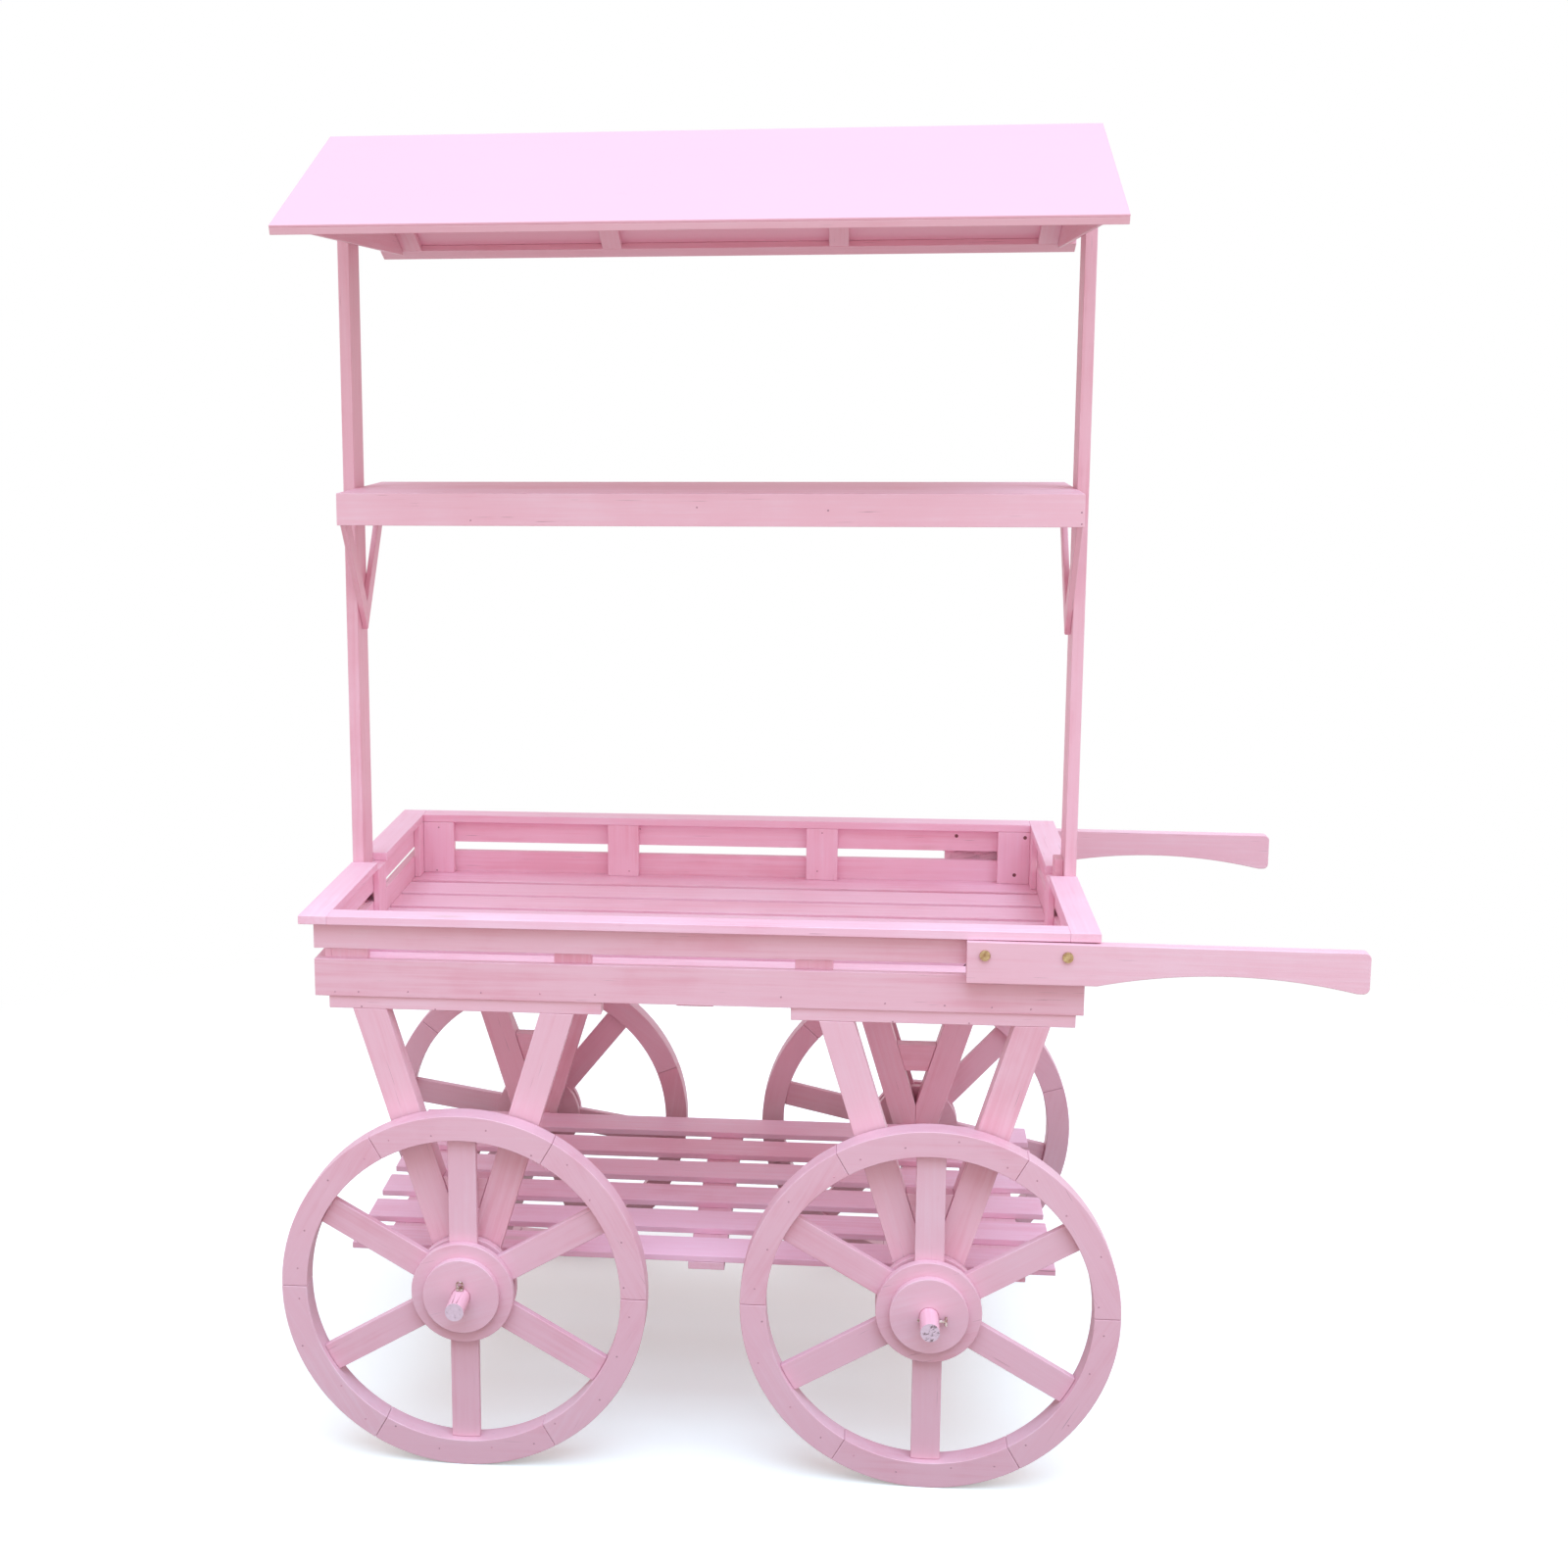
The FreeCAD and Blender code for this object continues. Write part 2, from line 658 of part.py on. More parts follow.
def make_tray_floor():
    """Eight equal lengthwise boards with gaps between, and the bearers between the top rails
    that carry them."""
    boards = []
    for index in range(SIZES["floor_count"]):
        middle = f"({index} - (floor_count - 1) / 2) * floor_pitch"
        boards.append(board(f"floor_board_{index}", ("-wall_in_x", "wall_in_x"),
                            about(middle, "floor_pitch - floor_gap"), ("wall_low", "floor_top")))
    keep_group("tray_floor", boards)
    z = ("rail_low", "wall_low")
    bearers = [board("tray_bearer_mid", about("0", "tray_bearer_width"),
                     ("-tray_bearer_mid_half", "tray_bearer_mid_half"), z)]
    for name, sign in LEFT_RIGHT:
        bearers.append(board(f"tray_bearer_{name}",
                             shifted(about(f"{sign} * tray_bearer_x", "tray_bearer_width")),
                             ("-leg_back", "leg_back"), z))
    keep_group("tray_bearers", bearers)


def make_tray_cleats():
    """Upright cleats that tie the upper wall boards to the lower ones."""
    z = ("floor_top", "wall_top")
    cleats = []
    for end, side in FRONT_REAR:
        y = span(side, "wall_in_y - cleat_thick", "wall_in_y")
        for name, sign in LEFT_RIGHT:
            corner = span(sign, "side_cleat_in - cleat_width", "side_cleat_in")
            cleats.append(board(f"cleat_{end}_{name}_corner", corner, y, z))
            cleats.append(board(f"cleat_{end}_{name}", about(f"{sign} * cleat_x", "cleat_width"), y, z))
            cleats.append(board(f"cleat_{name}_{end}", span(sign, "side_cleat_in", "wall_in_x"),
                                span(side, "wall_in_y - cleat_width", "wall_in_y"), z))
    for name, sign in LEFT_RIGHT:
        cleats.append(board(f"cleat_{name}_post", span(sign, "side_cleat_in", "wall_in_x"),
                            about("0", "cleat_width"), z))
    keep_group("tray_cleats", cleats)


def make_posts():
    """Two flat posts outside the side walls, cut at the top to the slopes of the roof."""
    for name, sign in LEFT_RIGHT:
        post = plate(f"post_{name}", "YZ_Plane",
                     [("-post_half", "wall_low"), ("post_half", "wall_low"),
                      ("post_half", "post_shoulder"), ("0", "post_top"),
                      ("-post_half", "post_shoulder")], "post_thick")
        keep(f"post_{name}", place(post, f"{sign} * (wall_face_x + post_thick / 2)", 0, 0))
    keep("post_block", board("post_block", ("wall_in_x", "wall_face_x"),
                             ("post_block_low", "post_block_high"),
                             ("wall_top", "wall_top + post_block_height")))


def make_mid_shelf():
    """A shallow box between the posts: two long fascias, two ends and three top boards."""
    x = ("-wall_face_x", "wall_face_x")
    fascias = []
    for end, side in FRONT_REAR:
        fascias.append(board(f"mid_fascia_{end}", x, span(side, "mid_in", "mid_half_depth"),
                             ("mid_low", "mid_top")))
    keep_group("mid_shelf_fascias", fascias)
    boards = []
    for index in range(SIZES["mid_board_count"]):
        middle = f"({index} - (mid_board_count - 1) / 2) * mid_pitch"
        boards.append(board(f"mid_board_{index}", x, about(middle, "mid_pitch - mid_board_gap"),
                            ("mid_under", "mid_top")))
    keep_group("mid_shelf_boards", boards)
    ends = []
    braces = []
    for name, sign in LEFT_RIGHT:
        ends.append(board(f"mid_end_{name}", span(sign, "wall_in_x", "wall_face_x"),
                          ("-mid_in", "mid_in"), ("mid_low", "mid_under")))
        for end, side in FRONT_REAR:
            centre = "glue_gap / 2"
            corners = [("brace_reach", "mid_low"), ("brace_reach - brace_width", "mid_low"),
                       (centre, f"brace_foot + (brace_width + {centre}) / brace_slope"),
                       (centre, f"brace_foot + {centre} / brace_slope")]
            corners = [(f"{side} * ({across})", up) for across, up in corners]
            brace = plate(f"brace_{name}_{end}", "YZ_Plane", corners, "brace_thick")
            braces.append(place(brace, f"{sign} * (wall_face_x - brace_thick / 2)", 0, 0))
    keep_group("mid_shelf_ends", ends)
    keep_group("shelf_braces", braces)


def slope_point(side, down, depth):
    """A point of one roof slope: so far down it from the ridge, so deep below its top face."""
    across = f"{side} * (({down}) * roof_cos - ({depth}) * roof_sin)"
    return across, f"ridge_z - ({down}) * roof_sin - ({depth}) * roof_cos"


def slope_bar(name, side, start, end, width, x):
    """A bar that lies flat under the roof sheet, from one distance down the slope to another."""
    corners = [slope_point(side, start, "sheet_thick"), slope_point(side, end, "sheet_thick"),
               slope_point(side, end, "frame_depth"), slope_point(side, start, "frame_depth")]
    return place(plate(name, "YZ_Plane", corners, width), x, 0, 0)


def make_roof():
    """Two thin sheets on a frame of flat battens and rafters, closed by two gable boards."""
    battens = []
    for end, side in FRONT_REAR:
        corners = [("0", "ridge_z"), slope_point(side, "roof_slope", "0"),
                   slope_point(side, "roof_slope", "sheet_thick"), ("0", "sheet_low")]
        roof_sheet = plate(f"roof_sheet_{end}", "YZ_Plane", corners, "2 * roof_half")
        keep(f"roof_sheet_{end}", place(roof_sheet, "roof_shift", 0, 0))
        battens.append(slope_bar(f"eave_batten_{end}", side, "batten_start", "roof_slope",
                                 "2 * roof_half", "roof_shift"))
        battens.append(slope_bar(f"ridge_batten_{end}", side, "ridge_setback", "rafter_start",
                                 "2 * gable_in", 0))
        rafters = []
        for name, sign in LEFT_RIGHT:
            for kind, x in (("end", "rafter_end_x"), ("inner", "rafter_x")):
                rafters.append(slope_bar(f"rafter_{end}_{name}_{kind}", side, "rafter_start",
                                         "batten_start", "batten_width", f"{sign} * {x}"))
        keep_group(f"rafters_{end}", rafters)
    keep_group("roof_battens", battens)
    for name, sign in LEFT_RIGHT:
        right = [("0", "post_top"), slope_point(1, "batten_start - seat_gap", "sheet_thick + glue_gap"),
                 slope_point(1, "batten_start - seat_gap", "frame_depth")]
        foot = (right[2][0], "gable_low")
        left = [(f"-({across})", up) for across, up in (foot, right[2], right[1])]
        gable = plate(f"gable_{name}", "YZ_Plane", right + [foot] + left, "gable_thick")
        keep(f"gable_{name}", place(gable, f"{sign} * (wall_face_x - gable_thick / 2)", 0, 0))


def make_handles():
    """Two shaped boards screwed to the outside of the long walls, past the right-hand end."""
    corners = [("handle_start", "handle_top"), ("handle_start", "handle_low"),
               ("handle_plate_end", "handle_low"), ("handle_tip_start", "handle_end_low"),
               ("handle_end", "handle_end_low"), ("handle_end", "handle_end_top"),
               ("wall_face_x", "handle_top")]
    for end, side in FRONT_REAR:
        handle = plate(f"handle_{end}_board", "XZ_Plane", corners, "handle_thick",
                       arcs={2: ("handle_bow", 1)})
        doc.recompute()
        blank = handle.Tip
        tip_edges = []
        for index, edge in enumerate(blank.Shape.Edges, start=1):
            ends = [vertex.Point for vertex in edge.Vertexes]
            at_end = all(abs(point.x - number("handle_end")) < 1e-4 for point in ends)
            if at_end and abs(ends[0].z - ends[1].z) < 1e-4:
                tip_edges.append(f"Edge{index}")
        rounded = handle.newObject("PartDesign::Fillet", "Fillet")
        rounded.Base = (blank, tip_edges)
        rounded.setExpression("Radius", cells("handle_corner"))
        handle.Tip = rounded
        place(handle, 0, f"{side} * (wall_face_y + handle_thick / 2)", 0)
        holes = screw_holes(f"handle_holes_{end}", end, "-handle_face", "handle_thick")
        keep(f"handle_{end}", cut(f"handle_{end}", handle, holes))
    screws = []
    for name, x, end, side in screw_places():
        inner = "-handle_face" if side < 0 else "screw_tip"
        head_y = "-handle_face - screw_head_thick" if side < 0 else "handle_face"
        shank = rod(f"screw_shank_{name}", "screw_radius", "screw_length", x, inner, "screw_z",
                    **ALONG_Y)
        head = rod(f"screw_head_{name}", "screw_head", "screw_head_thick", x, head_y, "screw_z",
                   **ALONG_Y)
        screws.append(fuse(f"screw_{name}", [shank, head]))
    keep_group("handle_screws", screws)


def check_document():
    """Stop if anything failed, before a file is written."""
    for item in doc.Objects:
        if "Invalid" in item.State or "Error" in item.State:
            raise RuntimeError(f"{item.Label} failed: {item.State}")
    for label, piece in NODES.items():
        if piece.Shape.isNull() or not piece.Shape.isValid() or not piece.Shape.Solids:
            raise RuntimeError(f"{label} has no valid solid")


fill_sheet()
make_undercarriage()
make_lower_shelf()
make_tray()
make_posts()
make_mid_shelf()
make_roof()
make_handles()
doc.recompute()
check_document()

os.makedirs("parts", exist_ok=True)
for label, piece in NODES.items():
    piece.Shape.exportStep(f"parts/{label}.step")
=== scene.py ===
"""The look of the flower cart: painted timber, nail heads, metal pins, studio light, camera."""
import json
import math
import random

import bmesh
import bpy
from mathutils import Matrix, Vector

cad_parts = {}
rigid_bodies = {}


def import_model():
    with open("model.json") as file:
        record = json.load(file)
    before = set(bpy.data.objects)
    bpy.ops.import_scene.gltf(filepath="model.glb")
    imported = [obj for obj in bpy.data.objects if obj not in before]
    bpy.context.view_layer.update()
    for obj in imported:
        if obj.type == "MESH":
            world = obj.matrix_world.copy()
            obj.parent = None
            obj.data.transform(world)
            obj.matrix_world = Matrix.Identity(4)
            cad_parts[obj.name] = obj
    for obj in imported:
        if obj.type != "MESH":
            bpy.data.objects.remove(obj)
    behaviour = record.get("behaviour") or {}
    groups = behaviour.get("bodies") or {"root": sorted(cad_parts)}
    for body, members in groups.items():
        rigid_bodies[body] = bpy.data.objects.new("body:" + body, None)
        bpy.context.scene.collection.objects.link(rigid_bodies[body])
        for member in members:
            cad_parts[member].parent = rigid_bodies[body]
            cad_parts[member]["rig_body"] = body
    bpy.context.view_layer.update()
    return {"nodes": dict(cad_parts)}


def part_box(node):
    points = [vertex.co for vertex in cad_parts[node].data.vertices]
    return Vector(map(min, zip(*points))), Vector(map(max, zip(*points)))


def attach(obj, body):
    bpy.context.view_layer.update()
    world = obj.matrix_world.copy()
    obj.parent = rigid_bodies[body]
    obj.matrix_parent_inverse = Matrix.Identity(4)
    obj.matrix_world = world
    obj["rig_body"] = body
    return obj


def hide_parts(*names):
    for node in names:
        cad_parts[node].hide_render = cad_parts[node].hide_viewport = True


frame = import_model()
NODES = frame["nodes"]

# The pink of the paint as it is on plain faces, and what it turns to where it lies thin or thick.
PINK = (0.900, 0.495, 0.612)
PINK_THIN = (0.850, 0.400, 0.510)
PINK_THICK = (0.920, 0.560, 0.680)
CHALK = (0.930, 0.660, 0.770)
BARE_WOOD = (0.560, 0.400, 0.330)
CRACK = (0.30, 0.14, 0.17)
END_DARK = (0.66, 0.47, 0.56)
END_PALE = (0.86, 0.66, 0.78)
END_CHECK = (0.16, 0.09, 0.09)
NAIL_TINT = (0.420, 0.215, 0.265)
RUST_DARK = (0.110, 0.030, 0.035)
RUST_PALE = (0.330, 0.110, 0.120)
STEEL = (0.62, 0.50, 0.46)
STEEL_RUST = (0.26, 0.12, 0.08)
ZINC_BRASS = (0.34, 0.17, 0.08)
ZINC_STRAW = (0.62, 0.46, 0.24)

# Edge radii, the rubbed band along edges and the nail heads, in metres.
TIMBER_EDGE = 0.0011
SHEET_EDGE = 0.0005
DOWEL_EDGE = 0.0012
SCREW_EDGE = 0.0009
WEAR_BAND = 0.0025
NAIL_RADIUS = 0.0014
RUST_RADIUS = 0.0030
NAIL_PROUD = 0.0003
NAIL_SUNK = 0.0003
NAIL_TOP = 0.7
NAIL_SIDES = 10

# How a board's own mesh is cleaned, told apart and eased.
SAME_PLACE = 2e-6
FLAT_ANGLE = math.radians(0.6)
SHARP_ANGLE = math.radians(32)
EDGE_SEGMENTS = 2
BROAD_BANDS = 2.6
NARROW_RUB = 0.45
END_GRAIN_COSINE = 0.8
LONG_EDGE_SHARE = 0.45
POWER_STEPS = 60
HANDLES = ("handle_front", "handle_rear")


# ---------------------------------------------------------------- shader graphs

class Wire:
    """The output of a shader node. Arithmetic on it adds Math nodes."""

    def __init__(self, graph, socket):
        self.graph = graph
        self.socket = socket

    def maths(self, operation, first, second=0.0, clamp=False):
        settings = {"operation": operation, "use_clamp": clamp}
        return self.graph.add("ShaderNodeMath", settings, {0: first, 1: second})

    def __add__(self, other):
        return self.maths("ADD", self, other)

    def __radd__(self, other):
        return self.maths("ADD", other, self)

    def __sub__(self, other):
        return self.maths("SUBTRACT", self, other)

    def __rsub__(self, other):
        return self.maths("SUBTRACT", other, self)

    def __mul__(self, other):
        return self.maths("MULTIPLY", self, other)

    def __rmul__(self, other):
        return self.maths("MULTIPLY", other, self)

    def clamped(self):
        return self.maths("ADD", self, 0.0, clamp=True)

    def above(self, threshold):
        return self.maths("GREATER_THAN", self, threshold)


class Graph:
    """The node tree of one material."""

    def __init__(self, name):
        self.material = bpy.data.materials.new(name)
        self.material.use_nodes = True
        self.nodes = self.material.node_tree.nodes
        self.nodes.clear()

    def plug(self, value, socket):
        if isinstance(value, Wire):
            self.material.node_tree.links.new(value.socket, socket)
        elif isinstance(value, tuple) and len(value) == 3 and socket.type == "RGBA":
            socket.default_value = (*value, 1.0)
        else:
            socket.default_value = value

    def add(self, kind, settings=None, inputs=None, output=0):
        """One node: its type, its settings, then what its sockets hold."""
        node = self.nodes.new(kind)
        for key, value in (settings or {}).items():
            setattr(node, key, value)
        for key, value in (inputs or {}).items():
            self.plug(value, node.inputs[key])
        return Wire(self, node.outputs[output]) if node.outputs else node

    def attribute(self, name, output="Fac"):
        return self.add("ShaderNodeAttribute", {"attribute_name": name}, output=output)

    def stretched(self, vector, factors):
        """A vector scaled by one factor along each axis."""
        return self.add("ShaderNodeVectorMath", {"operation": "MULTIPLY"}, {0: vector, 1: factors})

    def moved(self, vector, offset):
        """A vector with another added to it."""
        return self.add("ShaderNodeVectorMath", {"operation": "ADD"}, {0: vector, 1: offset})

    def noise(self, vector, scale, detail=3.0, roughness=0.55):
        inputs = {"Vector": vector, "Scale": scale, "Detail": detail, "Roughness": roughness}
        return self.add("ShaderNodeTexNoise", {"noise_dimensions": "3D"}, inputs)

    def remap(self, value, low, high, to_low=0.0, to_high=1.0):
        """A value's share of the way from low to high, smoothed, as a number between two others."""
        settings = {"interpolation_type": "SMOOTHSTEP", "clamp": True}
        inputs = {"Value": value, "From Min": low, "From Max": high,
                  "To Min": to_low, "To Max": to_high}
        return self.add("ShaderNodeMapRange", settings, inputs)

    def mix(self, factor, first, second):
        """Two colours mixed by a factor."""
        node = self.nodes.new("ShaderNodeMix")
        node.data_type = "RGBA"
        self.plug(factor, node.inputs["Factor"])
        self.plug(first, node.inputs[6])
        self.plug(second, node.inputs[7])
        return Wire(self, node.outputs[2])

    def bump(self, height, distance, strength=1.0):
        inputs = {"Strength": strength, "Distance": distance, "Height": height}
        return self.add("ShaderNodeBump", {}, inputs)

    def surface(self, inputs):
        """A Principled surface, and the material it finishes."""
        shader = self.add("ShaderNodeBsdfPrincipled", {}, inputs)
        self.add("ShaderNodeOutputMaterial", {}, {"Surface": shader})
        return self.material


def tinted(colour, tint):
    """A colour with each channel multiplied by its own share."""
    return tuple(channel * share for channel, share in zip(colour, tint))


def painted_timber(name, tint=(1.0, 1.0, 1.0), grain=1.0, blotches=1.0):
    """Brush-painted softwood: streaks along each board, its grain showing through, a knot or a
    fine crack here and there, thin paint on the ends and chalky edges."""
    graph = Graph(name)
    board = graph.attribute("board")
    along = graph.attribute("grain", "Vector")
    seed = graph.add("ShaderNodeCombineXYZ", {},
                     {"X": board * 37.0, "Y": board * 11.0, "Z": board * 5.0})
    place = graph.moved(along, seed)
    streaks = graph.noise(graph.stretched(place, (5.0, 170.0, 170.0)), 1.0, 4.0, 0.6)
    fibres = graph.noise(graph.stretched(place, (16.0, 640.0, 640.0)), 1.0, 3.0, 0.65)
    patches = graph.noise(place, 9.0, 4.0, 0.6)
    cloud = graph.noise(place, 2.6, 2.0)

    cells = {"Vector": graph.stretched(place, (4.2, 13.0, 13.0)), "Scale": 1.0}
    knot_cells = graph.add("ShaderNodeTexVoronoi", {"feature": "F1"}, cells, "Distance")
    knots = graph.remap(knot_cells, 0.15, 0.05) * graph.noise(place, 1.3, 0.0).above(0.56)

    cover = 0.5 + (streaks - 0.5) * (1.25 * grain) + (patches - 0.5) * blotches
    cover = (cover + (cloud - 0.5) * blotches + (board - 0.5) * 0.30).clamped()
    # The tint darkens or lightens the paint of a whole group as painted light and shade.
    thin, plain, thick = (tinted(colour, tint) for colour in (PINK_THIN, PINK, PINK_THICK))
    colour = graph.mix(graph.remap(cover, 0.0, 0.5), thin, plain)
    colour = graph.mix(graph.remap(cover, 0.5, 1.0), colour, thick)
    colour = graph.mix(knots * 0.35, colour, BARE_WOOD)

    ends = graph.attribute("end_grain")
    colour = graph.mix(ends * 0.18, colour, thin)
    rubs = graph.noise(place, 42.0, 3.0, 0.6)
    rubbed = graph.attribute("edge") + (patches - 0.5) * 1.2 + (rubs - 0.5) * 1.4
    worn = graph.remap(rubbed, 0.85, 1.35)
    colour = graph.mix(worn * 0.26, colour, CHALK)
    fine = graph.noise(graph.stretched(place, (11.0, 520.0, 520.0)), 1.0, 2.0)
    checks = graph.remap(fine, 0.715, 0.76)
    colour = graph.mix(checks * 0.55, colour, CRACK)
    scuffs = graph.remap(graph.noise(place, 55.0, 4.0, 0.7), 0.70, 0.78)
    scuffs = scuffs * graph.remap(patches, 0.55, 0.7)
    colour = graph.mix(scuffs * 0.30, colour, BARE_WOOD)

    height = streaks * 0.6 + fibres * (0.55 * grain) - knots * 0.4
    gloss = 0.40 + patches * 0.16 + worn * 0.15 + scuffs * 0.2
    return graph.surface({"Base Color": colour, "Roughness": gloss,
                          "Normal": graph.bump(height, 0.0005, 0.55)})


def painted_panel(name):
    """Thin sheet under the same paint: wide brush marks and faint clouding, almost no grain."""
    graph = Graph(name)
    board = graph.attribute("board")
    place = graph.moved(graph.attribute("grain", "Vector"), graph.add(
        "ShaderNodeCombineXYZ", {}, {"X": board * 23.0, "Y": board * 7.0, "Z": 0.0}))
    strokes = graph.noise(graph.stretched(place, (2.2, 60.0, 60.0)), 1.0, 4.0, 0.6)
    cloud = graph.noise(place, 5.0, 5.0, 0.62)
    fine = graph.noise(graph.stretched(place, (20.0, 60.0, 60.0)), 1.0, 3.0)
    flecks = graph.remap(fine, 0.66, 0.74)
    cover = (0.55 + (strokes - 0.5) * 0.45 + (cloud - 0.5) * 0.6).clamped()
    # The two pinks are the paint darkened a little, as painted shade on the strongly lit roof; the
    # brush marks and clouding mix between them.
    colour = graph.mix(cover, tinted(PINK, (0.93, 0.93, 0.93)), tinted(PINK, (0.97, 0.97, 0.97)))
    colour = graph.mix(flecks * 0.14, colour, PINK_THIN)
    worn = graph.remap(graph.attribute("edge") + (cloud - 0.5) * 1.2, 0.8, 1.3)
    colour = graph.mix(worn * 0.3, colour, PINK_THIN)
    return graph.surface({"Base Color": colour, "Roughness": 0.42 + cloud * 0.14,
                          "Normal": graph.bump(strokes + cloud * 0.6, 0.0006, 0.5)})


def painted_dowel(name, cracked):
    """A round dowel: paint along its side, grey weathered end grain with radial checks."""
    graph = Graph(name)
    place = graph.attribute("grain", "Vector")
    ends = graph.attribute("end_grain")
    streaks = graph.noise(graph.stretched(place, (8.0, 260.0, 260.0)), 1.0, 3.0)
    mottle = graph.noise(place, 240.0, 4.0, 0.65)
    side = graph.mix(streaks, PINK_THIN, PINK_THICK)
    tip = graph.mix(mottle, END_DARK, END_PALE)
    checks = graph.remap(graph.noise(graph.stretched(place, (10.0, 420.0, 120.0)), 1.0, 4.0, 0.7),
                         0.60 - 0.05 * cracked, 0.66 - 0.05 * cracked)
    tip = graph.mix(checks * (0.25 + 0.55 * cracked), tip, END_CHECK)
    return graph.surface({"Base Color": graph.mix(ends, side, tip), "Roughness": 0.45 + ends * 0.3,
                          "Normal": graph.bump(streaks * 0.5 - checks * ends, 0.0005, 0.7)})


def nail_paint(name, dark, light):
    """Nail heads under one coat, with rust bleeding through in spots."""
    graph = Graph(name)
    place = graph.add("ShaderNodeTexCoord", {}, {}, "Object")
    spots = graph.noise(place, 420.0, 3.0)
    colour = graph.mix(graph.remap(spots, 0.35, 0.75), dark, light)
    return graph.surface({"Base Color": colour, "Roughness": 0.5,
                          "Normal": graph.bump(spots, 0.0002, 0.6)})


def dull_steel(name):
    """Weathered steel wire, grey with a little rust and paint flecks."""
    graph = Graph(name)
    place = graph.add("ShaderNodeTexCoord", {}, {}, "Object")
    grime = graph.noise(place, 260.0, 5.0, 0.65)
    flecks = graph.remap(graph.noise(place, 520.0, 2.0), 0.62, 0.68)
    colour = graph.mix(graph.remap(grime, 0.4, 0.65), STEEL, STEEL_RUST)
    colour = graph.mix(flecks, colour, PINK_THIN)
    return graph.surface({"Base Color": colour, "Metallic": 0.9 - flecks * 0.9,
                          "Roughness": 0.35 + grime * 0.3,
                          "Normal": graph.bump(grime, 0.0002, 0.6)})


def yellow_zinc(name):
    """Yellow-passivated screw metal, mottled from brass to pale straw."""
    graph = Graph(name)
    place = graph.add("ShaderNodeTexCoord", {}, {}, "Object")
    bloom = graph.noise(place, 150.0, 4.0, 0.6)
    colour = graph.mix(graph.remap(bloom, 0.3, 0.7), ZINC_BRASS, ZINC_STRAW)
    return graph.surface({"Base Color": colour, "Metallic": 0.85, "Roughness": 0.30 + bloom * 0.2,
                          "Normal": graph.bump(bloom, 0.0002, 0.4)})


# Every timber group has the same pink paint, tinted per group as painted light and shade: the
# wheels, the frame and the tray's front wall are darker where shade falls, while the inside of the
# tray with the mid shelf, the trim tops and the lower shelf slats are lighter and bluer where light
# falls.
FINISH = {
    "wheel": painted_timber("wheel_paint_shaded", (0.89, 0.93, 0.91), grain=0.7),
    "frame": painted_timber("frame_paint_shaded", (0.93, 0.97, 0.94), grain=0.85),
    "tray": painted_timber("tray_paint_coat", (0.91, 0.95, 0.92)),
    "inside": painted_timber("inside_paint_lit", (1.02, 1.10, 1.09)),
    "trim": painted_timber("trim_paint_top_lit", (1.0, 1.04, 1.05)),
    "slats": painted_timber("slat_paint_lit", (1.02, 1.10, 1.14), blotches=1.2),
    "roof": painted_panel("roof_paint_shaded"),
    "dowel_left": painted_dowel("dowel_paint_left", cracked=0.0),
    "dowel_right": painted_dowel("dowel_paint_right", cracked=1.0),
    "nail": nail_paint("nail_paint_coat", NAIL_TINT, PINK_THIN),
    "rust": nail_paint("nail_rust", RUST_DARK, RUST_PALE),
    "steel": dull_steel("pin_steel"),
    "zinc": yellow_zinc("screw_zinc"),
}


# ---------------------------------------------------------------- dressing the timber

def islands(mesh):
    """The separate boards of a mesh, each as a list of its vertices."""
    waiting = set(mesh.verts)
    found = []
    for start in mesh.verts:
        if start not in waiting:
            continue
        waiting.remove(start)
        stack = [start]
        board = []
        while stack:
            vertex = stack.pop()
            board.append(vertex)
            for edge in vertex.link_edges:
                other = edge.other_vert(vertex)
                if other in waiting:
                    waiting.remove(other)
                    stack.append(other)
        found.append(board)
    found.sort(key=lambda board: tuple(
        round(c, 5) for c in sum((vertex.co for vertex in board), Vector()) / len(board)))
    return found


def main_direction(points):
    """The direction in which a cloud of points is longest, by power iteration."""
    middle = sum(points, Vector()) / len(points)
    spread = Matrix(((0, 0, 0), (0, 0, 0), (0, 0, 0)))
    for point in points:
        arm = point - middle
        for row in range(3):
            for column in range(3):
                spread[row][column] += arm[row] * arm[column]
    direction = Vector((1.0, 0.03, 0.02)).normalized()
    for _ in range(POWER_STEPS):
        direction = (spread @ direction).normalized()
    return direction


def board_axes(board, grain):
    """A board's own axes: along the grain, across its face and through its thickness."""
    points = [vertex.co.copy() for vertex in board]
    faces = dict.fromkeys(face for vertex in board for face in vertex.link_faces)
    broadest = max(faces, key=lambda face: round(face.calc_area(), 8))
    through = broadest.normal.copy()
    if grain:
        along = Vector(grain)
    else:
        edges = dict.fromkeys(edge for vertex in board for edge in vertex.link_edges)
        longest = max(edges, key=lambda edge: round(edge.calc_length(), 6))
        arm = longest.verts[1].co - longest.verts[0].co
        reach = max((a - points[0]).length for a in points)
        along = arm if arm.length > LONG_EDGE_SHARE * reach else main_direction(points)
    along = (along - through * along.dot(through)).normalized()
    across = through.cross(along)
    middle = sum(points, Vector()) / len(points)
    return middle, along, across, through


def grouped(faces):
    """Faces in groups that run into each other over an edge."""
    waiting = set(faces)
    groups = []
    for start in faces:
        if start not in waiting:
            continue
        waiting.remove(start)
        stack = [start]
        group = []
        while stack:
            face = stack.pop()
            group.append(face)
            for edge in face.edges:
                if len(edge.link_faces) > 2:
                    continue
                for other in edge.link_faces:
                    if other in waiting:
                        waiting.remove(other)
                        stack.append(other)
        groups.append(group)
    return groups


def part_touching(mesh):
    """Give boards that share an edge or a corner their own vertices there."""
    for group in grouped(list(mesh.faces))[1:]:
        bmesh.ops.split(mesh, geom=group)


